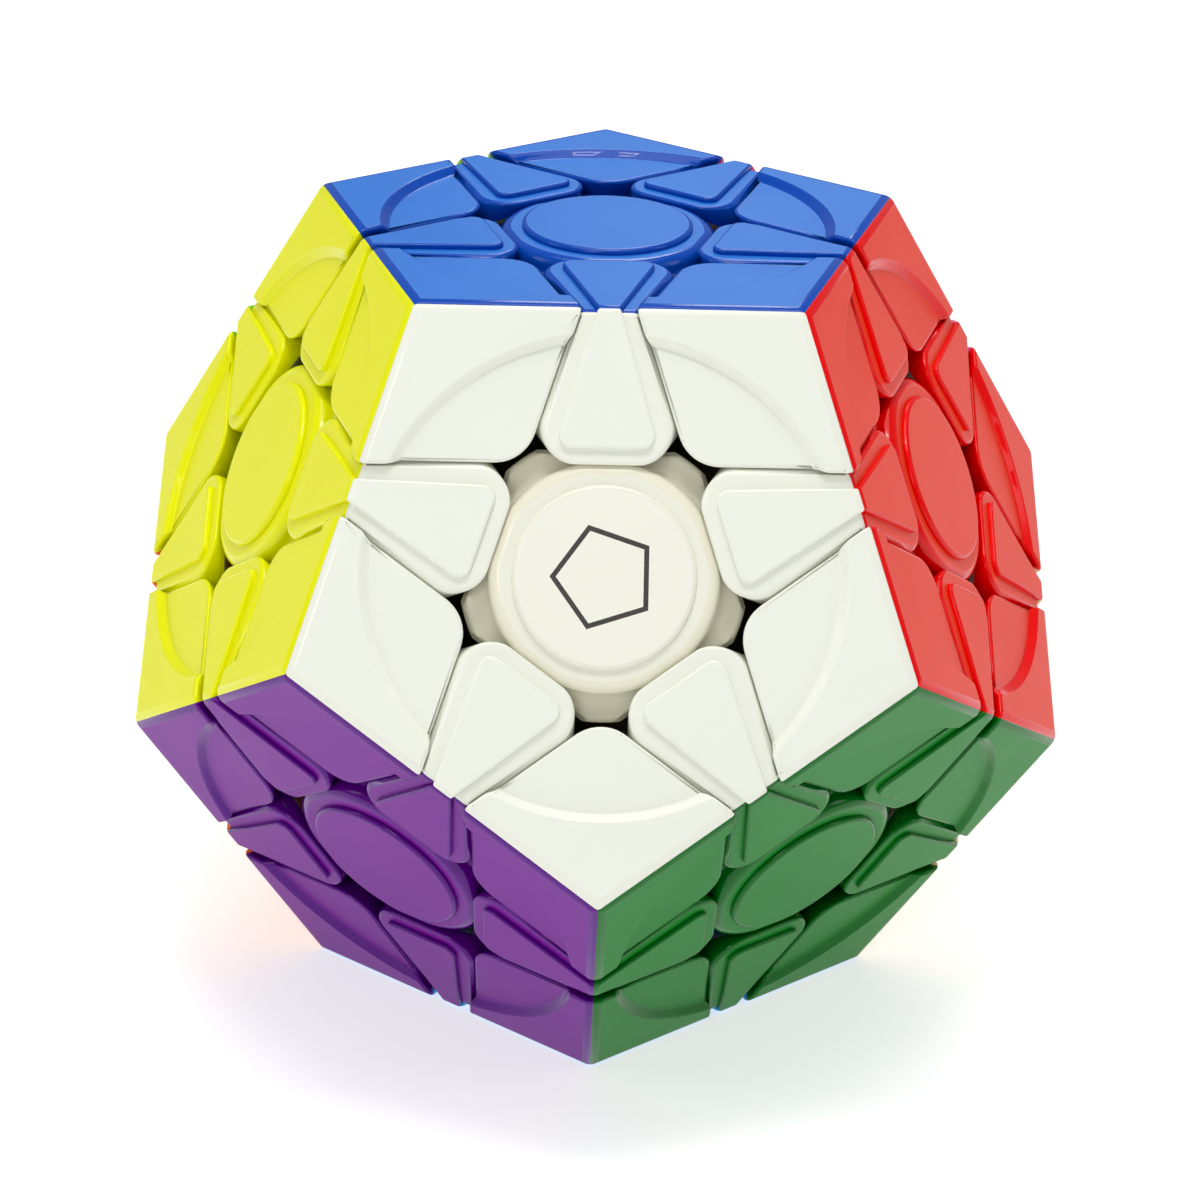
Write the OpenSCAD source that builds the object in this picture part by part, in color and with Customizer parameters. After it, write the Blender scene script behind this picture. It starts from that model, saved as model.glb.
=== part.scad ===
// Dodecahedron twisty puzzle: twelve faces, each turning about its own axis.
// The puzzle rests on its cyan face; the origin is the middle of that face and +Z is the blue axis.
// Every wall between two pieces is a plane, a sphere or a cone centred on the middle of the puzzle,
// so that a whole layer can turn past the rest.

/* [Puzzle] */
// Length of one side of a pentagonal face
side = 31; // [26:0.5:38]
// Width of an edge piece where it meets the rim of its face
edge_rim_width = 3.7; // [3:0.1:5]
// Running gap between pieces that turn past each other
turn_gap = 0.3; // [0.2:0.05:0.35]

/* [Outer shells] */
// Length of a corner's raised part, from its point to the sunken field
corner_rim_length = 7.4; // [6:0.1:9]
// Depth of a corner's sunken field
field_drop = 0.6; // [0.3:0.1:0.8]
// Radius of the rounded inner tip of a corner
corner_tip_radius = 4; // [3:0.1:5]
// Radius of the two rounded inner corners of an edge piece
edge_tip_radius = 2; // [1.5:0.1:3]
// Depth of the ledge round an edge piece
ledge_drop = 0.6; // [0.4:0.1:0.8]
// Width of that ledge
ledge_width = 1.4; // [1:0.1:1.6]
// Depth of an edge piece's raised field below the corners
edge_drop = 0.15; // [0.05:0.05:0.35]
// Least wall of a corner's shells over the post inside them
shell_wall = 1.3; // [1:0.1:2]

/* [Centres] */
// Width of the shoulder between the cap and the flat sides of a centre
shoulder_width = 0.75; // [0.6:0.05:1.2]
// How far the shoulder's five corners reach out past those sides
shoulder_reach = 1.2; // [0.8:0.1:1.4]
// How far the five lobes reach out past the shoulder
lobe_reach = 2; // [1:0.1:2.4]
// Depth of the cap's top below the corners
cap_drop = 0.3; // [0.1:0.1:0.5]
// Height of the cap above its shoulder
cap_step = 0.5; // [0.4:0.1:0.8]
// Rounding of the cap's upper edge
cap_round = 0.4; // [0.2:0.05:0.4]
// Rounding of the shoulder's outer edge
shoulder_round = 0.5; // [0.3:0.05:0.6]
// Thickness of the cap below its shoulder
cap_thickness = 0.7; // [0.5:0.1:1]
// Distance of the cap's skirt inside the edge of the cap
skirt_inset = 0.9; // [0.6:0.1:1.2]
// Wall of the skirt
skirt_wall = 1; // [0.8:0.1:1.4]
// Length of the skirt below the shoulder
skirt_length = 2.5; // [2:0.1:3]
// Floor of the chamber under the cap
chamber_floor_thickness = 1.9; // [1.5:0.1:2.5]
// Outer radius of the tube that holds spring and screw
tube_radius = 3.7; // [3.5:0.1:4]
// Thickness of the shelf that the spring stands on
shelf_thickness = 2.2; // [1.5:0.1:3]

/* [Feet] */
// Thickness of the feet of corners and edges, with their running gaps
foot_space = 5.9; // [5:0.1:6.5]
// Gap between feet that pass one another, and between feet and tubes
foot_gap = 0.6; // [0.5:0.1:0.8]
// Thickness of an edge's foot
edge_foot_width = 3.8; // [3:0.1:4.2]
// Radius of the hollow in a corner's foot and post
foot_bore = 2.2; // [1.5:0.1:2.6]
// Thickness of the end of that post
post_end = 2; // [1:0.1:3]
// Narrowing of the post where it enters the shells
post_inset = 0.25; // [0.15:0.05:0.4]
// Depth of the end of an edge's post below the waist of the layer
edge_post_drop = 1.65; // [1.2:0.05:2.5]

/* [Core and fasteners] */
// Radius of the ball in the middle of the core
core_radius = 9.6; // [8:0.1:11]
// Radius of each arm of the core
arm_radius = 3.6; // [3.3:0.1:3.9]
// Gap between an arm and the tube above it
arm_gap = 0.15; // [0.1:0.05:0.3]
// Shank diameter of the screws
screw_diameter = 2.4; // [2:0.1:2.8]
// Length of the screws under the head
screw_length = 16.6; // [14:0.1:17]
// Head diameter of the screws
screw_head_diameter = 4.6; // [4:0.1:5]
// Height of the head
screw_head_height = 1.6; // [1.2:0.1:2]
// Chamfer round the head
screw_head_chamfer = 0.4; // [0.2:0.05:0.6]
// Radius of the driver's recess in the head
screw_recess_radius = 1.15; // [0.9:0.05:1.4]
// Depth of that recess
screw_recess_depth = 0.9; // [0.6:0.1:1.1]
// Running clearance of the screw in the tube's shelf, on the radius
screw_clearance = 0.08; // [0.03:0.01:0.1]
// Length of the springs in place
spring_length = 5.1; // [4:0.1:5.5]
// Wall of the springs
spring_wall = 0.5; // [0.4:0.1:0.8]
// Gap round the springs and the screw heads in their well
well_clearance = 0.3; // [0.2:0.05:0.4]
// Thickness of the washers
washer_thickness = 0.5; // [0.3:0.1:0.8]

/* [Hidden] */
$fn = 96;
golden = (1 + sqrt(5)) / 2;
inradius = side * golden * golden / (2 * sqrt(3 - golden));
midradius = side * golden * golden / 2;
circumradius = side * golden * sqrt(3) / 2;
face_inradius = side / (2 * tan(36));
face_radius = side / (2 * sin(36));
face_tilt = acos(1 / sqrt(5));
edge_tilt = face_tilt / 2;
corner_tilt = acos(inradius / circumradius);

// The cut planes, and the two faces of the running gap along them
cut_distance = (side - edge_rim_width) / 2 * sin(72);
cut_height = inradius - cut_distance * sin(face_tilt);
layer_floor = cut_height + turn_gap / 2;
rest_ceiling = cut_height - turn_gap / 2;
reach = 2 * side;

// Below the cut planes a layer ends on a cone, and below that the feet ride between two spheres
turn_cone = 45;
cone_gap = 0.45;
waist_radius = cut_height / cos(turn_cone);
waist_height = waist_radius * cos(face_tilt - turn_cone);
foot_ceiling = cut_height / cos(edge_tilt) - 2 * turn_gap;
foot_top = foot_ceiling - turn_gap / 2;
neck_bottom = foot_ceiling + turn_gap / 2;
foot_floor = foot_ceiling - foot_space + turn_gap / 2;

// Half angles of the inner parts, seen from the middle of the puzzle
corner_stalk_angle = turn_cone - corner_tilt - cone_gap;
edge_plug_angle = turn_cone - edge_tilt - cone_gap;
centre_cone = face_tilt - turn_cone - 2 * cone_gap;
feet_limit = min(90 - edge_tilt - asin((edge_foot_width / 2 + foot_gap) / foot_floor),
                 face_tilt - asin((tube_radius + foot_gap) / foot_floor));
corner_foot_angle = feet_limit - corner_tilt;
edge_foot_angle = feet_limit - edge_tilt;

// Radii and heights along a face axis
shoulder_height = inradius - cap_drop - cap_step;
flat_radius = face_inradius - cut_distance - turn_gap;
shoulder_radius = flat_radius + shoulder_reach;
cap_radius = flat_radius - shoulder_width;
lobe_radius = shoulder_radius + lobe_reach;
skirt_radius = cap_radius - skirt_inset;
seat_gap = 0.05;
chamber_radius = skirt_radius + seat_gap;
chamber_floor = neck_bottom + chamber_floor_thickness;
head_top = foot_ceiling - turn_gap;
head_bottom = head_top - screw_head_height;
spring_top = head_bottom - washer_thickness - seat_gap;
shelf_top = spring_top - spring_length - seat_gap;
tube_bottom = shelf_top - shelf_thickness;
arm_top = tube_bottom - arm_gap;
arm_root = core_radius / 2;
screw_tip = head_bottom - screw_length;
hole_spare = 1;
hole_bottom = screw_tip - hole_spare;
head_radius = screw_head_diameter / 2;
well_radius = head_radius + well_clearance;

// Radii and heights along a corner axis and an edge axis
post_radius = waist_radius * tan(corner_stalk_angle) - post_inset;
post_top = (inradius - field_drop - shell_wall - post_radius * sin(corner_tilt)) / cos(corner_tilt);
plug_top = waist_radius - edge_post_drop;
// How far an edge's blade stands inside its post, and how far it runs up into it
neck_inset_angle = 2;
neck_lap = 1;

face_names = ["blue", "white", "red", "pink", "lime", "yellow",
              "green", "cream", "grey", "orange", "purple", "cyan"];
face_colours = ["#1147c0", "#f2f2ea", "#e01010", "#f27ab0", "#8fd820", "#ecf000",
                "#0a8038", "#efe3b4", "#8c9096", "#f57a10", "#6c1596", "#58c0ec"];
faces = [0:11];
turning_faces = [1, 3, 9];
body_names = ["white_layer", "pink_layer", "orange_layer", "core_frame"];
bodies = [0:3];
core_frame = 3;
// A corner lies this close to the axis of each of its three faces, and an edge to its two
corner_share = 0.99 * inradius / circumradius;
edge_share = 0.99 * inradius / midradius;

function face_polar(i) = i == 0 ? 0 : i < 6 ? face_tilt : i < 11 ? 180 - face_tilt : 180;
function face_azimuth(i) = i == 0 || i == 11 ? 18 : i < 6 ? 72 * i - 162 : 72 * i - 486;
function face_twist(i) = i > 5 && i < 11 ? 180 : 0;

function about_y(v, a) = [v.x * cos(a) + v.z * sin(a), v.y, v.z * cos(a) - v.x * sin(a)];
function about_z(v, a) = [v.x * cos(a) - v.y * sin(a), v.x * sin(a) + v.y * cos(a), v.z];
function polar_point(tilt, turn) = [sin(tilt) * cos(turn), sin(tilt) * sin(turn), cos(tilt)];
function to_puzzle(v, i) = about_z(about_y(about_z(v, face_twist(i)), face_polar(i)), face_azimuth(i));
function face_axis(i) = to_puzzle([0, 0, 1], i);
function corner_axis(i, k) = to_puzzle(polar_point(corner_tilt, 72 * k), i);
function edge_axis(i, k) = to_puzzle(polar_point(edge_tilt, 36 + 72 * k), i);

// The body that carries a piece is the turning layer that it lies in, or the frame
function owner(v, limit) =
    let (hit = [for (b = [0:2]) if (v * face_axis(turning_faces[b]) > limit) b])
    len(hit) > 0 ? hit[0] : core_frame;
function corner_owner(i, k) = owner(corner_axis(i, k), corner_share);
function edge_owner(i, k) = owner(edge_axis(i, k), edge_share);
function shares_face(i, b) = len([for (k = [0:4]) if (corner_owner(i, k) == b || edge_owner(i, k) == b) k]) > 0;
// Each corner and edge is met on several faces, and it is counted on the first of them
function first_face(v, limit) = [for (i = faces) if (v * face_axis(i) > limit) i][0];

function cap_node(i) = str(face_names[i], "_centre_cap");
function centre_node(i) = str(face_names[i], "_centre_body");
function shells_node(i, b) = str(face_names[i], "_shells_", body_names[b]);
function feet_node(b) = str("feet_", body_names[b]);

// Points of an arc about the middle of the puzzle, as [distance from the axis, height along it]
function arc_points(r, from, to, steps = 6) =
    [for (k = [0:steps]) let (a = from + (to - from) * k / steps) r * [sin(a), cos(a)]];

// An outer edge at radius x and height y, rounded to radius r
function rounded_corner(x, y, r, steps = 3) =
    [for (k = [0:steps]) let (a = 90 - 90 * k / steps) [x - r + r * cos(a), y - r + r * sin(a)]];

// Outline of the region p * m1 > c1, p * m2 > c2 with its apex rounded to radius r
function rounded_wedge(m1, c1, m2, c2, r, steps = 6) =
    let (
        det = m1.x * m2.y - m1.y * m2.x,
        middle = [(c1 + r) * m2.y - (c2 + r) * m1.y, (c2 + r) * m1.x - (c1 + r) * m2.x] / det,
        a1 = atan2(-m1.y, -m1.x),
        sweep = atan2(m1.x * m2.y - m1.y * m2.x, m1 * m2),
        along1 = [-m1.y, m1.x] * sign(det),
        along2 = [m2.y, -m2.x] * sign(det)
    )
    concat(
        [for (k = [0:steps]) let (a = a1 + sweep * k / steps) middle + r * [cos(a), sin(a)]],
        [middle - r * m2 + reach * along2, middle - r * m1 + reach * (along1 + along2),
         middle - r * m1 + reach * along1]);

module at_face(i) {
    translate([0, 0, inradius])
        rotate([0, face_polar(i), face_azimuth(i)])
            rotate([0, 0, face_twist(i)])
                children();
}

module at_corner(i, k) {
    at_face(i) rotate([0, corner_tilt, 72 * k]) children();
}

module at_edge(i, k) {
    at_face(i) rotate([0, edge_tilt, 36 + 72 * k]) children();
}

// Outer pieces, drawn on a face whose axis is +Z, with the piece towards +X

// Everything under a face, down past the cut planes, with the round field sunk into it
module sunken_face() {
    radius = face_radius - corner_rim_length;
    soft = field_drop;
    rotate_extrude()
        polygon([[0, layer_floor / 2], [reach, layer_floor / 2], [reach, inradius], [radius + soft, inradius],
                 [radius, inradius - field_drop / 4], [radius - soft / 2, inradius - field_drop * 3 / 4],
                 [radius - 3 * soft / 2, inradius - field_drop], [0, inradius - field_drop]]);
}

// The space between the walls of a corner on the two neighbouring faces
module corner_walls() {
    rotate([0, -edge_tilt, 0])
        linear_extrude(3 * inradius, center = true)
            polygon(rounded_wedge([cos(edge_tilt), -sin(edge_tilt)], layer_floor,
                                  [cos(edge_tilt), sin(edge_tilt)], layer_floor, corner_tip_radius));
}

// One of three equal sectors about the corner axis
module corner_sector() {
    rotate([0, corner_tilt, 0])
        linear_extrude(2 * circumradius)
            polygon([[0, 0], reach * [cos(120), sin(120)], [-reach, 0], reach * [cos(120), -sin(120)]]);
}

module corner_shell() {
    difference() {
        intersection() {
            sunken_face();
            corner_walls();
            corner_sector();
        }
        rotate([0, corner_tilt, 0]) corner_plug();
    }
}

// The space inside one inner corner of an edge piece, with both walls moved in by inset
module edge_walls(hand, inset) {
    rotate([0, -edge_tilt, hand * 36])
        linear_extrude(3 * inradius, center = true)
            polygon(rounded_wedge([cos(edge_tilt), -hand * sin(edge_tilt)], layer_floor + inset,
                                  [-cos(edge_tilt), -hand * sin(edge_tilt)], inset - rest_ceiling,
                                  edge_tip_radius));
}

// The half of an edge piece that belongs to this face, up to a given height
module edge_half(height, inset) {
    rim = height * tan(edge_tilt);
    low = cut_height / 2;
    intersection() {
        rotate([90, 0, 0])
            linear_extrude(side, center = true)
                polygon([[0, height], [0, low], [low * tan(edge_tilt), low], [rim, height]]);
        edge_walls(1, inset);
        edge_walls(-1, inset);
    }
}

module edge_shell() {
    difference() {
        union() {
            edge_half(inradius - ledge_drop, 0);
            edge_half(inradius - edge_drop, ledge_width * sin(face_tilt));
        }
        for (turn = [-72, 72])
            rotate([0, face_tilt, turn]) cone_below_cut();
        rotate([0, edge_tilt, 0]) edge_plug();
    }
}

// Where the stalks of a turning layer pass under its cut plane
module cone_below_cut() {
    wide = tan(turn_cone + cone_gap);
    bottom = side / 3;
    translate([0, 0, bottom])
        cylinder(h = cut_height - bottom, r1 = bottom * wide, r2 = cut_height * wide);
}

// Inner pieces, drawn on their own axis as +Z

module corner_plug() {
    rotate_extrude()
        polygon([[0, foot_top], [foot_top * tan(corner_stalk_angle), foot_top],
                 [post_radius, post_radius / tan(corner_stalk_angle)], [post_radius, post_top], [0, post_top]]);
}

module corner_foot() {
    color("#26262a")
        rotate_extrude()
            polygon(concat(
                arc_points(foot_floor, asin(foot_bore / foot_floor), corner_foot_angle),
                arc_points(foot_top, corner_foot_angle, corner_stalk_angle),
                [[post_radius, post_radius / tan(corner_stalk_angle)], [post_radius, post_top],
                 [0, post_top], [0, post_top - post_end], [foot_bore, post_top - post_end]]));
}

module edge_plug() {
    rotate_extrude()
        polygon(concat(
            arc_points(neck_bottom, 0, edge_plug_angle),
            [[plug_top * tan(edge_plug_angle), plug_top], [0, plug_top]]));
}

module edge_foot() {
    neck_angle = edge_plug_angle - neck_inset_angle;
    color("#26262a")
        union() {
            edge_plug();
            rotate([90, 0, 0])
                linear_extrude(edge_foot_width, center = true)
                    polygon(concat(
                        arc_points(foot_floor, -edge_foot_angle, edge_foot_angle),
                        arc_points(foot_top, edge_foot_angle, neck_angle, 3),
                        arc_points(neck_bottom + neck_lap, neck_angle, -neck_angle, 3),
                        arc_points(foot_top, -neck_angle, -edge_foot_angle, 3)));
        }
}

// Pieces on a face axis

module centre_cap(i) {
    top = inradius - cap_drop;
    skirt_bottom = shoulder_height - skirt_length;
    skirt_bore = skirt_radius - skirt_wall;
    underside = shoulder_height - cap_thickness;
    color(face_colours[i])
        at_face(i)
            rotate_extrude()
                polygon(concat(
                    [[0, top]],
                    rounded_corner(cap_radius, top, cap_round),
                    [[cap_radius, shoulder_height], [skirt_radius, shoulder_height],
                     [skirt_radius, skirt_bottom], [skirt_bore, skirt_bottom],
                     [skirt_bore, underside], [0, underside]]));
}

// Shoulder, lobes, spring well and tube in one turned outline
module centre_outline() {
    cone_radius = waist_height * tan(centre_cone);
    screw_bore = screw_diameter / 2 + screw_clearance;
    polygon(concat(
        [[chamber_radius, shoulder_height]],
        rounded_corner(shoulder_radius, shoulder_height, shoulder_round),
        [[lobe_radius - shoulder_round, (shoulder_height + 2 * waist_height) / 3],
         [lobe_radius, waist_height], [cone_radius, waist_height]],
        arc_points(neck_bottom, centre_cone, asin(tube_radius / neck_bottom), 4),
        [[tube_radius, tube_bottom], [screw_bore, tube_bottom], [screw_bore, shelf_top],
         [well_radius, shelf_top], [well_radius, chamber_floor], [chamber_radius, chamber_floor]]));
}

module centre_body(i) {
    color(face_colours[i])
        at_face(i)
            difference() {
                rotate_extrude() centre_outline();
                for (k = [0:4])
                    rotate([0, face_tilt, 36 + 72 * k])
                        translate([-side, -side, rest_ceiling])
                            cube(2 * side);
            }
}

module shells(i, b) {
    color(face_colours[i])
        at_face(i)
            for (k = [0:4]) {
                if (corner_owner(i, k) == b) rotate(72 * k) corner_shell();
                if (edge_owner(i, k) == b) rotate(36 + 72 * k) edge_shell();
            }
}

module feet(b) {
    for (i = faces, k = [0:4]) {
        if (corner_owner(i, k) == b && first_face(corner_axis(i, k), corner_share) == i)
            at_corner(i, k) corner_foot();
        if (edge_owner(i, k) == b && first_face(edge_axis(i, k), edge_share) == i)
            at_edge(i, k) edge_foot();
    }
}

module core() {
    color("#d8d8d2")
        difference() {
            union() {
                translate([0, 0, inradius]) sphere(core_radius);
                for (i = faces)
                    at_face(i) translate([0, 0, arm_root]) cylinder(h = arm_top - arm_root, r = arm_radius);
            }
            for (i = faces)
                at_face(i) translate([0, 0, hole_bottom]) cylinder(h = inradius, d = screw_diameter);
        }
}

module screws() {
    shank = screw_diameter / 2;
    recess_bottom = head_top - screw_recess_depth;
    color("silver")
        for (i = faces)
            at_face(i)
                rotate_extrude()
                    polygon([[0, screw_tip], [shank, screw_tip], [shank, head_bottom], [head_radius, head_bottom],
                             [head_radius, head_top - screw_head_chamfer],
                             [head_radius - screw_head_chamfer, head_top], [screw_recess_radius, head_top],
                             [screw_recess_radius, recess_bottom], [0, recess_bottom]]);
}

module ring(outer, inner, height) {
    difference() {
        cylinder(h = height, r = outer);
        translate([0, 0, -height / 2]) cylinder(h = 2 * height, r = inner);
    }
}

// A plain sleeve of the coil's outer shape
module springs() {
    color("silver")
        for (i = faces)
            at_face(i)
                translate([0, 0, spring_top - spring_length])
                    ring(head_radius, head_radius - spring_wall, spring_length);
}

module washers() {
    color("silver")
        for (i = faces)
            at_face(i)
                translate([0, 0, head_bottom - washer_thickness])
                    ring(head_radius, screw_diameter / 2 + seat_gap, washer_thickness);
}

for (i = faces) {
    centre_cap(i);
    centre_body(i);
    for (b = bodies)
        shells(i, b);
}
for (b = bodies)
    feet(b);
core();
screws();
springs();
washers();
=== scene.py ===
import math

import bmesh
import bpy
from mathutils import Matrix, Quaternion, Vector


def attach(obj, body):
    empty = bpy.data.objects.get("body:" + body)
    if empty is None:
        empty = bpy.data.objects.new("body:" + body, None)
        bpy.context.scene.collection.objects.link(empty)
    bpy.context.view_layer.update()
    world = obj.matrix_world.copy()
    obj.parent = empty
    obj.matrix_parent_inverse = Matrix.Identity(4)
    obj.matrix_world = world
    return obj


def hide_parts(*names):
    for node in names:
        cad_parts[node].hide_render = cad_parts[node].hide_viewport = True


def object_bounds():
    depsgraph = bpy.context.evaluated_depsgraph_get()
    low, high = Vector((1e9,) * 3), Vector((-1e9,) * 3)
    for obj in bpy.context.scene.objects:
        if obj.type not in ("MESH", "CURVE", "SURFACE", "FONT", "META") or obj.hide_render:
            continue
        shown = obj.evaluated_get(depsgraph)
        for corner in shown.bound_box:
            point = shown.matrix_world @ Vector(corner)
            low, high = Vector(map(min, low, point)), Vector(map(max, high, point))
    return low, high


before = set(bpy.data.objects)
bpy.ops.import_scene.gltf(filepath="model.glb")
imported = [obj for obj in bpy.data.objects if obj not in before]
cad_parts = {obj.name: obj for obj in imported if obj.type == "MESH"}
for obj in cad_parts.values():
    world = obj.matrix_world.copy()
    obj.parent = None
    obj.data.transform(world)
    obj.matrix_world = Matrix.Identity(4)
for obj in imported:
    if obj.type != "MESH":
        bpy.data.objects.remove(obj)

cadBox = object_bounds()

# Sizes in metres, and the angles that every regular dodecahedron has
puzzle = {
    "rimWidth": 0.0037,      # an edge piece where it meets the rim of its face
    "turnGap": 0.0003,       # between pieces that turn past each other
    "seenGap": 0.00015,      # what the rounded mouldings leave of it
}
golden = (1 + math.sqrt(5)) / 2
inradius = (cadBox[1][2] - cadBox[0][2]) / 2
side = inradius * 2 * math.sqrt(3 - golden) / golden ** 2
faceTilt = math.acos(1 / math.sqrt(5))
edgeTilt = faceTilt / 2
cornerTilt = math.acos(golden / math.sqrt(3) / math.sqrt(3 - golden))
faceInradius = side / 2 / math.tan(math.radians(36))
faceRadius = side / 2 / math.sin(math.radians(36))
cutDistance = (side - puzzle["rimWidth"]) / 2 * math.sin(math.radians(72))
cutHeight = inradius - cutDistance * math.sin(faceTilt)
layerFloor = cutHeight + puzzle["seenGap"] / 2
restCeiling = cutHeight - puzzle["seenGap"] / 2
centre = Vector((0, 0, inradius))

# Each face's name, its axis as polar angle and azimuth, and its own turn about that axis, in degrees
upper = ("white", "red", "pink", "lime", "yellow")
lower = ("green", "cream", "grey", "orange", "purple")
tilt = math.degrees(faceTilt)
faces = {"blue": (0, 18, 0), "cyan": (180, 18, 0)}
faces.update({name: (tilt, 72 * k - 90, 0) for k, name in enumerate(upper)})
faces.update({name: (180 - tilt, 72 * k - 54, 180) for k, name in enumerate(lower)})
turningFaces = {"white_layer": "white", "pink_layer": "pink", "orange_layer": "orange"}


def turn(angle, axis):
    return Matrix.Rotation(math.radians(angle), 4, axis)


def faceFrame(name):
    polar, azimuth, twist = faces[name]
    return Matrix.Translation(centre) @ turn(azimuth, "Z") @ turn(polar, "Y") @ turn(twist, "Z")


def faceAxis(name):
    return (faceFrame(name).to_3x3() @ Vector((0, 0, 1))).normalized()


def towards(polar, azimuth):
    return Vector((math.sin(polar) * math.cos(azimuth), math.sin(polar) * math.sin(azimuth), math.cos(polar)))


def carrier(name, polar, azimuth):
    """body"""
    direction = faceFrame(name).to_3x3() @ towards(polar, math.radians(azimuth))
    for body, owner in turningFaces.items():
        if direction.dot(faceAxis(owner)) > 0.99 * math.cos(polar):
            return body
    return "core_frame"


# Mesh helpers

def everything(bm):
    return bm.verts[:] + bm.edges[:] + bm.faces[:]


def cutAway(bm, normal, distance, fill=True):
    # removes what lies beyond a plane, and closes the cut
    bmesh.ops.bisect_plane(bm, geom=everything(bm), dist=1e-8, plane_co=normal * distance,
                           plane_no=normal, clear_outer=True)
    if fill:
        bmesh.ops.holes_fill(bm, edges=[e for e in bm.edges if e.is_boundary], sides=0)


def roundOff(bm, edges, width, segments):
    return bmesh.ops.bevel(bm, geom=list(edges), offset=width, offset_type="OFFSET", segments=segments,
                           profile=0.5, affect="EDGES", clamp_overlap=False, loop_slide=True,
                           material=-1)


def sharpEdges(bm, least=30):
    return [e for e in bm.edges if len(e.link_faces) == 2 and e.calc_face_angle(0) > math.radians(least)]


def facing(face, direction, least=0.999):
    return face.normal.dot(direction) > least


def spunProfile(points, steps, angle=360, start=0):
    bm = bmesh.new()
    spot = turn(start, "Z")
    verts = [bm.verts.new(spot @ Vector((r, 0, z))) for r, z in points]
    edges = [bm.edges.new(pair) for pair in zip(verts, verts[1:])]
    full = abs(angle - 360) < 0.01
    bmesh.ops.spin(bm, geom=verts + edges, cent=(0, 0, 0), axis=(0, 0, 1), angle=math.radians(angle),
                   steps=steps, use_merge=full, use_duplicate=False)
    bmesh.ops.remove_doubles(bm, verts=bm.verts[:], dist=1e-7)
    return bm


def finishShape(bm, name, walls=()):
    # the outer flats have a satin face, and all the rest of a moulding is polished; the polished faces also get a
    # darker colour, which is painted shade
    bmesh.ops.recalc_face_normals(bm, faces=bm.faces[:])
    polishAndShadeMask = bm.faces.layers.float.new("polishAndShadeMask")
    for face in bm.faces:
        flat = facing(face, Vector((0, 0, 1)), 0.99999)
        face.smooth = not flat and face.calc_area() < 8e-6 and not any(facing(face, w) for w in walls)
        face[polishAndShadeMask] = 0.0 if flat else 1.0
    mesh = bpy.data.meshes.new(name)
    bm.to_mesh(mesh)
    bm.free()
    return mesh


# Outer shells, made on a face whose axis is +Z with the piece towards +X

def ridgePlane(azimuth):
    # between a face and its neighbour at that azimuth
    return (towards(faceTilt, azimuth) - Vector((0, 0, 1))).normalized()


def roundRidge(bm, azimuth, level, radius, steps=5):
    # the ridge between two faces is rounded, and each face has its half of the rounding
    middle = towards(edgeTilt, azimuth) * (level / math.cos(edgeTilt) - radius / math.cos(edgeTilt))
    for k in range(steps):
        normal = towards(edgeTilt * (k + 0.5) / steps, azimuth)
        cutAway(bm, normal, middle.dot(normal) + radius)
    bmesh.ops.recalc_face_normals(bm, faces=bm.faces[:])


def roundBetween(bm, first, second, radius, steps):
    # each side is a wall's outward normal and its distance; the cuts touch the rounding from outside
    (one, far), (two, farther) = first, second
    share = one.dot(two)
    a, b = far - radius, farther - radius
    middle = (one * (a - share * b) + two * (b - share * a)) / (1 - share * share)
    for k in range(steps):
        normal = one.slerp(two, (k + 0.5) / steps)
        cutAway(bm, normal, middle.dot(normal) + radius)
    bmesh.ops.recalc_face_normals(bm, faces=bm.faces[:])


def outline(bm, hidden):
    # edges between the top of a piece and its walls, without those on the planes that it shares
    return [e for e in sharpEdges(bm) if sum(f.normal.z > 0.5 for f in e.link_faces) == 1
            and not any(facing(f, plane) for f in e.link_faces for plane in hidden)]


cornerShape = {
    "rimLength": 0.0074,     # from the corner's point to the sunken field
    "fieldDrop": 0.0006,
    "slopeWidth": 0.0008,    # of the soft step down into the field
    "tipRadius": 0.004,
    "edgeRound": 0.0004,
    "ridgeRadius": 0.0014,
}


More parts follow.
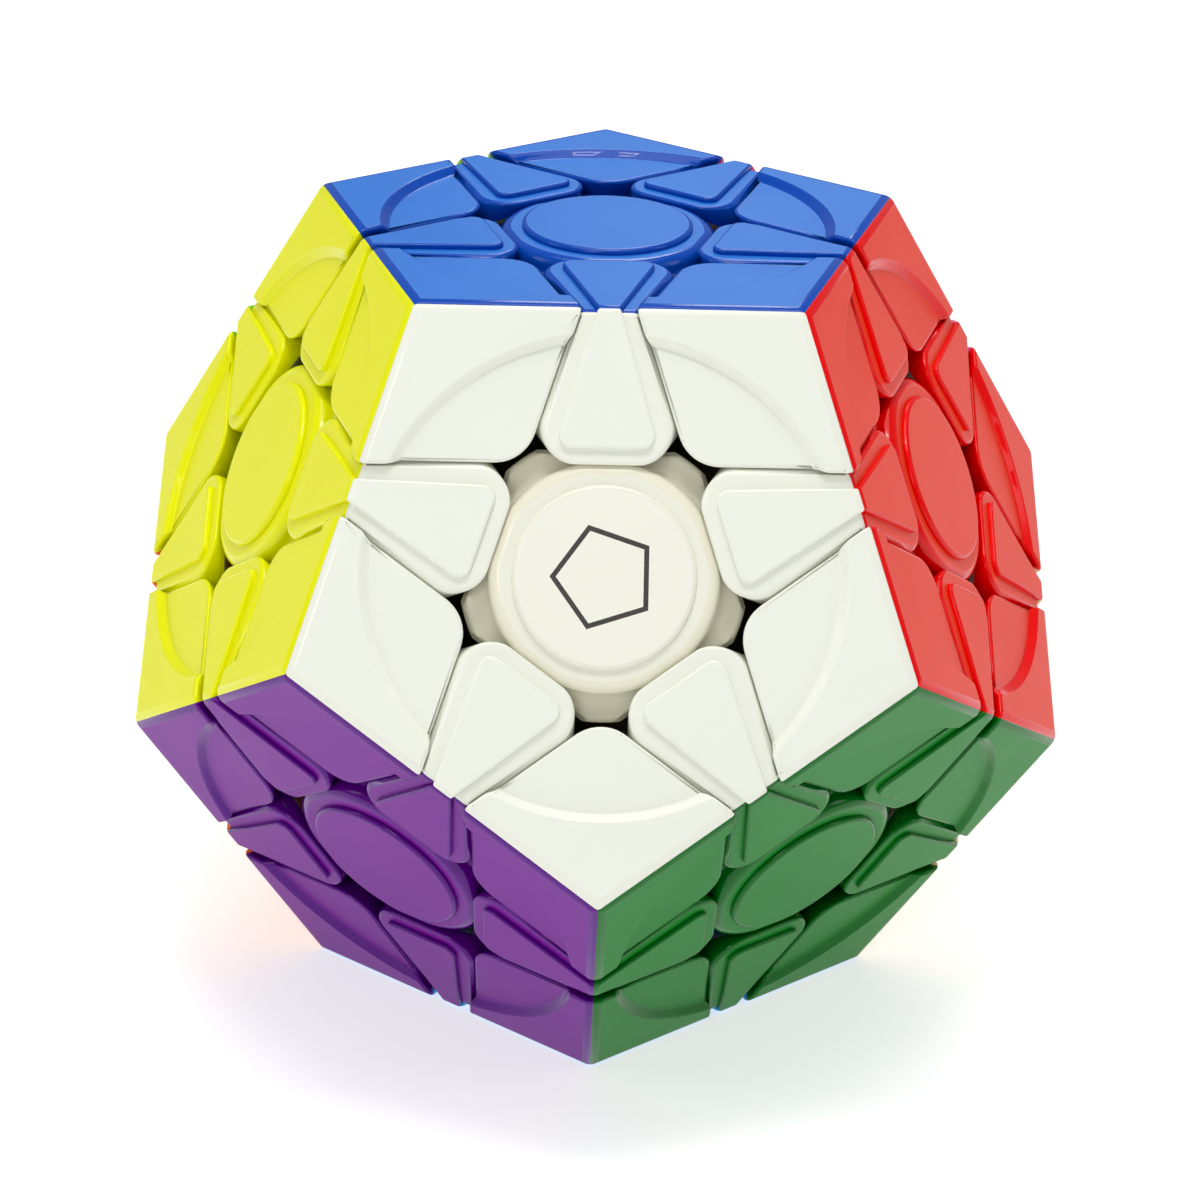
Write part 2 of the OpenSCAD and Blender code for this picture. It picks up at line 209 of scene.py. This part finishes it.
def cornerMesh():
    shape = cornerShape
    arc = faceRadius - shape["rimLength"]
    slope = 4
    step = [(arc + shape["slopeWidth"] * (k / slope - 0.5),
             inradius - shape["fieldDrop"] * (0.5 + 0.5 * math.cos(math.pi * k / slope))) for k in range(slope + 1)]
    profile = [(0.006, inradius - shape["fieldDrop"])] + step + [(1.1 * faceRadius, inradius)]
    bm = spunProfile(profile, steps=36, angle=129.6, start=-64.8)
    walls = [towards(faceTilt, math.radians(a)) for a in (36, -36)]
    ridges = [ridgePlane(math.radians(a)) for a in (36, -36)]
    for wall, ridge in zip(walls, ridges):
        cutAway(bm, -wall, -layerFloor, fill=False)
        cutAway(bm, ridge, 0, fill=False)
    bmesh.ops.dissolve_limit(bm, angle_limit=math.radians(0.02), verts=bm.verts[:], edges=bm.edges[:])

    # the four sides run down to the corner's inner tip
    innerTip = towards(cornerTilt, 0) * layerFloor / math.cos(cornerTilt)
    down = bmesh.ops.extrude_edge_only(bm, edges=[e for e in bm.edges if e.is_boundary])["geom"]
    lowVerts = [v for v in down if isinstance(v, bmesh.types.BMVert)]
    bmesh.ops.scale(bm, vec=(0.15, 0.15, 0.15), space=Matrix.Translation(-innerTip), verts=lowVerts)
    bmesh.ops.holes_fill(bm, edges=[e for e in bm.edges if e.is_boundary], sides=0)
    bmesh.ops.recalc_face_normals(bm, faces=bm.faces[:])
    bmesh.ops.dissolve_limit(bm, angle_limit=math.radians(0.02), verts=bm.verts[:], edges=bm.edges[:])

    roundBetween(bm, *[(-wall, -layerFloor) for wall in walls], shape["tipRadius"], 10)
    for azimuth in (36, -36):
        roundRidge(bm, math.radians(azimuth), inradius, shape["ridgeRadius"])
    point = towards(cornerTilt, 0) * (inradius - shape["ridgeRadius"]) / math.cos(cornerTilt)
    for k in (1, 2, 3):
        normal = towards(cornerTilt * k / 3, 0)
        cutAway(bm, normal, point.dot(normal) + shape["ridgeRadius"])
    bmesh.ops.recalc_face_normals(bm, faces=bm.faces[:])
    roundOff(bm, outline(bm, ridges), shape["edgeRound"], 4)
    return finishShape(bm, "cornerShape")


edgeShape = {
    "ledgeDrop": 0.0006,
    "fieldDrop": 0.00015,
    "tipRadius": 0.0022,
    "edgeRound": 0.00036,
    "ridgeRadius": 0.0008,
    "ledgeWidth": 0.0017,    # at the inner end
    "fieldRim": 0.00085,     # half the raised field's width at the rim
    "fieldSlant": 16.2,
    "fieldTip": 0.001,
    "fieldRound": 0.0002,
}


def edgeBlock(level, low, walls, tipRadius, topRound):
    shape = edgeShape
    ridge = ridgePlane(0)
    bm = bmesh.new()
    bmesh.ops.create_cube(bm, size=side, matrix=Matrix.Translation((side / 2, 0, low + side / 2)))
    cutAway(bm, Vector((0, 0, 1)), level)
    cutAway(bm, ridge, 0)
    for normal, distance in walls:
        cutAway(bm, normal, distance)
    bmesh.ops.recalc_face_normals(bm, faces=bm.faces[:])
    for flank in walls[1:]:
        roundBetween(bm, walls[0], flank, tipRadius, 9)
    roundRidge(bm, 0, level, shape["ridgeRadius"])
    roundOff(bm, outline(bm, [ridge]), topRound, 4)
    return bm


def edgeMesh():
    shape = edgeShape
    inner = towards(faceTilt, 0)
    flanks = [(towards(faceTilt, math.radians(a)), restCeiling) for a in (72, -72)]
    ledge = inradius - shape["ledgeDrop"]
    bm = edgeBlock(ledge, inradius * 0.62, [(-inner, -layerFloor)] + flanks,
                   shape["tipRadius"], shape["edgeRound"])
    # the stalks of a turning layer pass below
    cutAway(bm, -towards(edgeTilt, 0), -waistRadius - puzzle["turnGap"])
    start = (layerFloor - inradius * math.cos(faceTilt)) / math.sin(faceTilt) + shape["ledgeWidth"]
    walls = [(Vector((-1, 0, 0)), -start)]
    for hand in (1, -1):
        slant = towards(math.pi / 2, hand * math.radians(90 - shape["fieldSlant"]))
        walls.append((slant, slant.dot(Vector((faceInradius, hand * shape["fieldRim"], 0)))))
    field = edgeBlock(inradius - shape["fieldDrop"], ledge - 0.0004, walls,
                      shape["fieldTip"], shape["fieldRound"])
    raised = bpy.data.meshes.new("edgeField")
    field.to_mesh(raised)
    field.free()
    bm.from_mesh(raised)
    return finishShape(bm, "edgeShape")


# Centres, turned on the face axis

centreShape = {
    "shoulderReach": 0.0012,  # of the shoulder's five corners past its flat sides
    "shoulderRound": 0.001,
    "shoulderWidth": 0.00075,
    "lobeReach": 0.0023,
    "lobeRound": 0.0005,
    "capDrop": 0.0003,
    "capStep": 0.0005,
    "capRound": 0.00036,
    "skirtInset": 0.0009,
    "skirtWall": 0.001,
    "skirtLength": 0.0025,
    "tubeRadius": 0.0037,
    "screwLength": 0.0166,
}
shoulderHeight = inradius - centreShape["capDrop"] - centreShape["capStep"]
flatRadius = faceInradius - cutDistance - puzzle["turnGap"]
shoulderRadius = flatRadius + centreShape["shoulderReach"]
capRadius = flatRadius - centreShape["shoulderWidth"]
skirtRadius = capRadius - centreShape["skirtInset"]
waistRadius = cutHeight / math.cos(math.radians(45))
waistHeight = waistRadius * math.cos(faceTilt - math.radians(45))
neckBottom = cutHeight / math.cos(edgeTilt) - 1.5 * puzzle["turnGap"]


def arcPoints(middle, size, start, end, steps):
    # size is a radius, or the two half widths of an ellipse
    wide, high = size if isinstance(size, tuple) else (size, size)
    angles = [math.radians(start + (end - start) * k / steps) for k in range(steps + 1)]
    return [(middle[0] + wide * math.cos(a), middle[1] + high * math.sin(a)) for a in angles]


def capMesh(marked=False):
    shape = centreShape
    top = inradius - shape["capDrop"]
    soft = shape["capRound"]
    bore = skirtRadius - shape["skirtWall"]
    low = shoulderHeight - shape["skirtLength"]
    profile = ([(0, top)] + arcPoints((capRadius - soft, top - soft), soft, 90, 0, 5)
               + [(capRadius, shoulderHeight), (skirtRadius, shoulderHeight), (skirtRadius, low), (bore, low),
                  (bore, shoulderHeight - 0.0007), (0, shoulderHeight - 0.0007)])
    bm = spunProfile(profile, steps=96)
    bmesh.ops.dissolve_limit(bm, angle_limit=math.radians(0.02), verts=bm.verts[:], edges=bm.edges[:])
    bmesh.ops.recalc_face_normals(bm, faces=bm.faces[:])
    if not marked:
        return finishShape(bm, "capShape")
    # a plain pentagon is printed on one cap
    sides = [towards(math.pi / 2, math.radians(90 + 72 * k)) for k in range(5)]
    for distance in (mark["apothem"], mark["apothem"] + mark["line"]):
        for normal in sides:
            disc = [f for f in bm.faces if facing(f, Vector((0, 0, 1))) and f.calc_center_median().z > top - 1e-6]
            geom = disc + list({e for f in disc for e in f.edges}) + list({v for f in disc for v in f.verts})
            bmesh.ops.bisect_plane(bm, geom=geom, dist=1e-8, plane_co=normal * distance, plane_no=normal)
    mesh = finishShape(bm, "markedCapShape")
    ink = mesh.attributes.new("ink", "FLOAT", "FACE")
    for face in mesh.polygons:
        out = max(face.center.dot(normal) for normal in sides)
        printed = face.center.z > top - 1e-6 and mark["apothem"] < out < mark["apothem"] + mark["line"]
        ink.data[face.index].value = float(printed)
    return mesh


mark = {"apothem": 0.0031, "line": 0.0004}


def bodyMesh():
    shape = centreShape
    cone = faceTilt - math.radians(45.9)
    chamber = skirtRadius + 0.00005
    soft, edge = shape["shoulderRound"], shape["lobeRound"]
    lobe = shoulderRadius + shape["lobeReach"]
    lobeTop = waistHeight + 0.00075
    well = 0.0026
    profile = ([(chamber, shoulderHeight - 0.002), (chamber, shoulderHeight)]
               + arcPoints((shoulderRadius - soft, shoulderHeight - soft), soft, 90, 0, 6)
               + arcPoints((lobe - edge, shoulderHeight - soft),
                           (lobe - edge - shoulderRadius, shoulderHeight - soft - lobeTop), 190, 270, 8)
               + arcPoints((lobe - edge, lobeTop - edge), edge, 80, 0, 5)
               + [(lobe, waistHeight), (waistHeight * math.tan(cone), waistHeight),
                  (neckBottom * math.sin(cone), neckBottom * math.cos(cone)),
                  (shape["tubeRadius"], neckBottom), (shape["tubeRadius"], 0.0166), (well, 0.0166),
                  (well, neckBottom + 0.0019), (chamber, neckBottom + 0.0019), (chamber, shoulderHeight - 0.002)])
    bm = spunProfile(profile, steps=90)
    walls = [towards(faceTilt, math.radians(36 + 72 * k)) for k in range(5)]
    for wall in walls:
        cutAway(bm, wall, restCeiling)
    bmesh.ops.recalc_face_normals(bm, faces=bm.faces[:])
    for wall in walls:
        roundBetween(bm, (Vector((0, 0, 1)), shoulderHeight), (wall, restCeiling), soft, 5)
    return finishShape(bm, "bodyShape", walls)


spring = {"outer": 0.0023, "wire": 0.0005, "turns": 7, "length": 0.0051, "steps": 24}
springTop = neckBottom - 2 * puzzle["turnGap"] - 0.0016 - 0.0005


def springMesh():
    shape = spring
    half = shape["wire"] / 2
    bm = bmesh.new()
    start = Matrix.Translation((shape["outer"] - half, 0, springTop - shape["length"] + half)) @ turn(90, "X")
    bmesh.ops.create_circle(bm, segments=10, radius=half, matrix=start)
    steps = shape["turns"] * shape["steps"]
    rise = (shape["length"] - shape["wire"]) / steps
    bmesh.ops.spin(bm, geom=everything(bm), cent=(0, 0, 0), axis=(0, 0, 1), dvec=(0, 0, rise),
                   angle=2 * math.pi * shape["turns"], steps=steps, use_merge=False, use_duplicate=False)
    bmesh.ops.remove_doubles(bm, verts=bm.verts[:], dist=1e-7)
    bmesh.ops.holes_fill(bm, edges=[e for e in bm.edges if e.is_boundary], sides=0)
    return finishShape(bm, "springShape")


# Materials

class Wire:
    # a socket or a number, so that shader maths reads as maths
    def __init__(self, finish, value):
        self.finish = finish
        self.value = value

    def sum(self, kind, first, second):
        return self.finish.node("ShaderNodeMath", {"operation": kind}, {0: first, 1: second}).out(0)

    def __add__(self, other):
        return self.sum("ADD", self, other)

    def __radd__(self, other):
        return self.sum("ADD", other, self)

    def __sub__(self, other):
        return self.sum("SUBTRACT", self, other)

    def __rsub__(self, other):
        return self.sum("SUBTRACT", other, self)

    def __mul__(self, other):
        return self.sum("MULTIPLY", self, other)

    def __rmul__(self, other):
        return self.sum("MULTIPLY", other, self)


class Built:
    def __init__(self, finish, made):
        self.finish = finish
        self.made = made

    def out(self, key):
        return Wire(self.finish, self.made.outputs[key])


class Finish:
    def __init__(self, name):
        self.material = bpy.data.materials.new(name)
        self.material.use_nodes = True
        self.tree = self.material.node_tree
        self.tree.nodes.clear()

    def node(self, kind, settings=None, sockets=None):
        made = self.tree.nodes.new(kind)
        for key, value in (settings or {}).items():
            if key == "stops":
                for stop, (place, shade) in zip(made.color_ramp.elements, value):
                    stop.position = place
                    stop.color = shade
            else:
                setattr(made, key, value)
        for key, value in (sockets or {}).items():
            if isinstance(value, Wire):
                self.tree.links.new(value.value, made.inputs[key])
            else:
                made.inputs[key].default_value = value
        return Built(self, made)

    def noise(self, scale, detail=2, rough=0.5):
        place = self.node("ShaderNodeTexCoord").out("Object")
        return self.node("ShaderNodeTexNoise", {}, {"Vector": place, "Scale": scale, "Detail": detail,
                                                    "Roughness": rough}).out("Fac")

    def blend(self, amount, first, second):
        mix = self.node("ShaderNodeMix", {"data_type": "RGBA"}, {0: amount, 6: first, 7: second})
        return mix.out(2)

    def close(self, shader):
        self.node("ShaderNodeOutputMaterial", {}, {"Surface": shader.out(0)})
        return self.material


plastic = {
    "grain": 5200,           # fine texture of the satin faces
    "grainDepth": 0.0000016,
    "sink": 130,             # slow waviness that moulding leaves
    "sinkDepth": 0.000012,
    "satinSheen": 0.42,
    "polishedShaded": 0.14,
    "gloss": 0.26,
}

# Each colour on the satin faces, lifted paler as a painted sheen, and on the polished edges and walls, darker and more
# saturated as painted shade
shades = {
    "blue": ((0.018, 0.185, 0.66), (0.0, 0.065, 0.44)), "white": ((0.88, 0.90, 0.80), (0.875, 0.89, 0.785)),
    "red": ((0.86, 0.045, 0.012), (0.82, 0.0, 0.0)), "pink": ((0.80, 0.22, 0.40), (0.80, 0.10, 0.28)),
    "lime": ((0.30, 0.62, 0.05), (0.22, 0.58, 0.0)), "yellow": ((0.82, 0.82, 0.0), (0.82, 0.84, 0.0)),
    "green": ((0.0, 0.20, 0.012), (0.0, 0.14, 0.008)), "cream": ((0.82, 0.72, 0.45), (0.80, 0.66, 0.36)),
    "grey": ((0.24, 0.25, 0.27), (0.16, 0.17, 0.19)), "orange": ((0.82, 0.23, 0.03), (0.84, 0.17, 0.0)),
    "purple": ((0.17, 0.0, 0.27), (0.10, 0.0, 0.22)), "cyan": ((0.12, 0.45, 0.76), (0.03, 0.36, 0.74)),
}


def mouldedPlastic(name, satinSheen, polishedShaded, printed=False):
    finish = Finish(name)
    polishAndShadeMask = finish.node("ShaderNodeAttribute", {"attribute_name": "polishAndShadeMask"}).out("Fac")
    cloud = finish.noise(90, 3)
    grain = finish.noise(plastic["grain"], 2, 0.6)
    sink = finish.noise(plastic["sink"], 1)
    deep = (*[c * 0.9 for c in polishedShaded], 1)
    # painted light: satin faces take the paler colour with its painted sheen, polished edges and walls the darker
    # colour as painted shade
    colour = finish.blend(cloud * 0.3, finish.blend(polishAndShadeMask, (*satinSheen, 1), (*polishedShaded, 1)), deep)
    if printed:
        ink = finish.node("ShaderNodeAttribute", {"attribute_name": "ink"}).out("Fac")
        colour = finish.blend(ink * (0.9 + grain * 0.1), colour, (0.02, 0.012, 0.014, 1))
    roughness = plastic["satinSheen"] + (plastic["polishedShaded"] - plastic["satinSheen"]) * polishAndShadeMask + (cloud - 0.5) * 0.08
    bumpHeight = grain * plastic["grainDepth"] * (1 - polishAndShadeMask * 0.8) + sink * plastic["sinkDepth"]
    bump = finish.node("ShaderNodeBump", {}, {"Height": bumpHeight, "Strength": 1.0, "Distance": 1.0}).out("Normal")
    shader = finish.node("ShaderNodeBsdfPrincipled", {}, {
        "Base Color": colour, "Roughness": roughness, "Normal": bump,
        "Specular IOR Level": plastic["gloss"]})
    return finish.close(shader)


def plainFinish(name, shade, rough, metal=0.0, scale=900, depth=0.000004):
    finish = Finish(name)
    cloud = finish.noise(160, 3)
    grain = finish.noise(scale, 3, 0.6)
    colour = finish.blend(cloud, (*shade, 1), (*[c * 0.75 for c in shade], 1))
    bump = finish.node("ShaderNodeBump", {}, {"Height": grain * depth, "Strength": 1.0, "Distance": 1.0}).out("Normal")
    shader = finish.node("ShaderNodeBsdfPrincipled", {}, {
        "Base Color": colour, "Roughness": rough + (grain - 0.5) * 0.15, "Normal": bump, "Metallic": metal})
    return finish.close(shader)


finishes = {name: mouldedPlastic(name + "Plastic", *pair) for name, pair in shades.items()}
# the cap's polished rim colour is darker than its satin top, as painted shade
finishes["whiteCap"] = mouldedPlastic("whiteCapPlastic", (0.90, 0.91, 0.80), (0.87, 0.86, 0.74), printed=True)
# the centre body's polished colour is warmer and darker than its satin one: painted warm shade on the lobes down in the
# gaps
finishes["whiteCentre"] = mouldedPlastic("whiteCentrePlastic", (0.89, 0.89, 0.78), (0.87, 0.84, 0.68))
finishes["black"] = plainFinish("blackNylon", (0.11, 0.085, 0.055), 0.42)
finishes["core"] = plainFinish("coreNylon", (0.55, 0.55, 0.52), 0.4)
finishes["steel"] = plainFinish("zincSteel", (0.6, 0.6, 0.62), 0.3, metal=1.0)
print("materials:", len(finishes))


# Assembly

def addPiece(name, parts, material, body, node):
    bm = bmesh.new()
    for mesh, place in parts:
        start = len(bm.verts)
        bm.from_mesh(mesh)
        bm.verts.ensure_lookup_table()
        bmesh.ops.transform(bm, matrix=place, verts=bm.verts[start:])
    mesh = bpy.data.meshes.new(name)
    bm.to_mesh(mesh)
    bm.free()
    mesh.materials.append(material)
    piece = bpy.data.objects.new(name, mesh)
    bpy.context.scene.collection.objects.link(piece)
    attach(piece, body)
    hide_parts(node)
    return piece


corner, edge, cap, markedCap, lobed = cornerMesh(), edgeMesh(), capMesh(), capMesh(marked=True), bodyMesh()
for mesh in (corner, edge, cap, markedCap, lobed):
    print("shape:", mesh.name, len(mesh.polygons), "faces")

for name in faces:
    place = faceFrame(name)
    own = {owner: body for body, owner in turningFaces.items()}.get(name, "core_frame")
    shells = {}
    for k in range(5):
        shells.setdefault(carrier(name, cornerTilt, 72 * k), []).append((corner, place @ turn(72 * k, "Z")))
        shells.setdefault(carrier(name, edgeTilt, 36 + 72 * k), []).append((edge, place @ turn(36 + 72 * k, "Z")))
    for body, parts in shells.items():
        addPiece(f"{name}.shells.{body}", parts, finishes[name], body, f"{name}_shells_{body}")
    white = name == "white"
    addPiece(f"{name}.cap", [(markedCap if white else cap, place)], finishes["whiteCap" if white else name], own, f"{name}_centre_cap")
    addPiece(f"{name}.centre", [(lobed, place)], finishes["whiteCentre" if white else name], own, f"{name}_centre_body")

coil = springMesh()
addPiece("springs", [(coil, faceFrame(name)) for name in faces], finishes["steel"], "core_frame", "springs")
inner = {"core": "core", "screws": "steel", "washers": "steel"}
inner.update({"feet_" + body: "black" for body in ("core_frame", *turningFaces)})
for node, finish in inner.items():
    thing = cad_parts[node]
    for spot in thing.material_slots:
        spot.link = "OBJECT"
        spot.material = finishes[finish]


# Studio

studio = {
    "azimuth": -0.9, "elevation": 25.88, "roll": 1.55, "distance": 0.2629, "lens": 87.2,
    "aim": (0.0002, -0.0007, 0.0331), "tableGlow": 0.6, "roomGlow": 0.28,
}


def addLight(name, place, target, size, power, shade=(1, 1, 1)):
    lamp = bpy.data.lights.new(name, "AREA")
    lamp.shape = "RECTANGLE"
    lamp.size, lamp.size_y = size
    lamp.energy = power
    lamp.color = shade
    light = bpy.data.objects.new(name, lamp)
    light.location = place
    light.rotation_euler = (Vector(target) - Vector(place)).to_track_quat("-Z", "Y").to_euler()
    bpy.context.scene.collection.objects.link(light)


def addCamera():
    azimuth, elevation = math.radians(studio["azimuth"]), math.radians(studio["elevation"])
    back = Vector((math.sin(azimuth) * math.cos(elevation), -math.cos(azimuth) * math.cos(elevation),
                   math.sin(elevation)))
    lens = bpy.data.cameras.new("camera")
    lens.lens = studio["lens"]
    lens.sensor_width = 36
    lens.clip_start = 0.01
    camera = bpy.data.objects.new("camera", lens)
    camera.location = centre + back * studio["distance"]
    aim = (Vector(studio["aim"]) - camera.location).to_track_quat("-Z", "Y")
    camera.rotation_euler = (aim @ Quaternion((0, 0, 1), math.radians(studio["roll"]))).to_euler()
    bpy.context.scene.collection.objects.link(camera)
    bpy.context.scene.camera = camera


def addFloor():
    bm = bmesh.new()
    bmesh.ops.create_grid(bm, x_segments=1, y_segments=1, size=4)
    mesh = bpy.data.meshes.new("floor")
    bm.to_mesh(mesh)
    bm.free()
    # a light table, which leaves almost no shadow
    finish = Finish("paleFloor")
    cloud = finish.noise(3)
    colour = finish.blend(cloud, (0.66, 0.66, 0.66, 1), (0.69, 0.69, 0.69, 1))
    shader = finish.node("ShaderNodeBsdfPrincipled", {}, {
        "Base Color": colour, "Roughness": 0.7, "Specular IOR Level": 0.1,
        "Emission Color": (1, 1, 1, 1), "Emission Strength": studio["tableGlow"]})
    mesh.materials.append(finish.close(shader))
    floor = bpy.data.objects.new("floor", mesh)
    bpy.context.scene.collection.objects.link(floor)


def addWorld():
    world = bpy.data.worlds.new("studio")
    world.use_nodes = True
    back = world.node_tree.nodes["Background"]
    back.inputs["Color"].default_value = (0.98, 0.99, 1.0, 1)
    back.inputs["Strength"].default_value = studio["roomGlow"]
    bpy.context.scene.world = world


lights = {
    "overhead": ((0.0, 0.05, 0.9), (0.7, 0.7), 3.7),
    "strip": ((0.0, -0.12, 0.9), (0.3, 0.08), 1.7),
    "front": ((-0.30, -0.75, 0.50), (0.25, 0.25), 1.35),
    "back": ((0.05, 0.55, 0.50), (0.12, 0.25), 0.6),
    "right": ((0.75, -0.15, 0.45), (0.2, 0.4), 0.5),
    "left": ((-0.75, -0.1, 0.45), (0.2, 0.4), 0.5),
}
addCamera()
addFloor()
addWorld()
for name, (place, size, power) in lights.items():
    addLight(name, place, (0, 0, 0.03), size, power)
bpy.context.scene.view_settings.view_transform = "Standard"
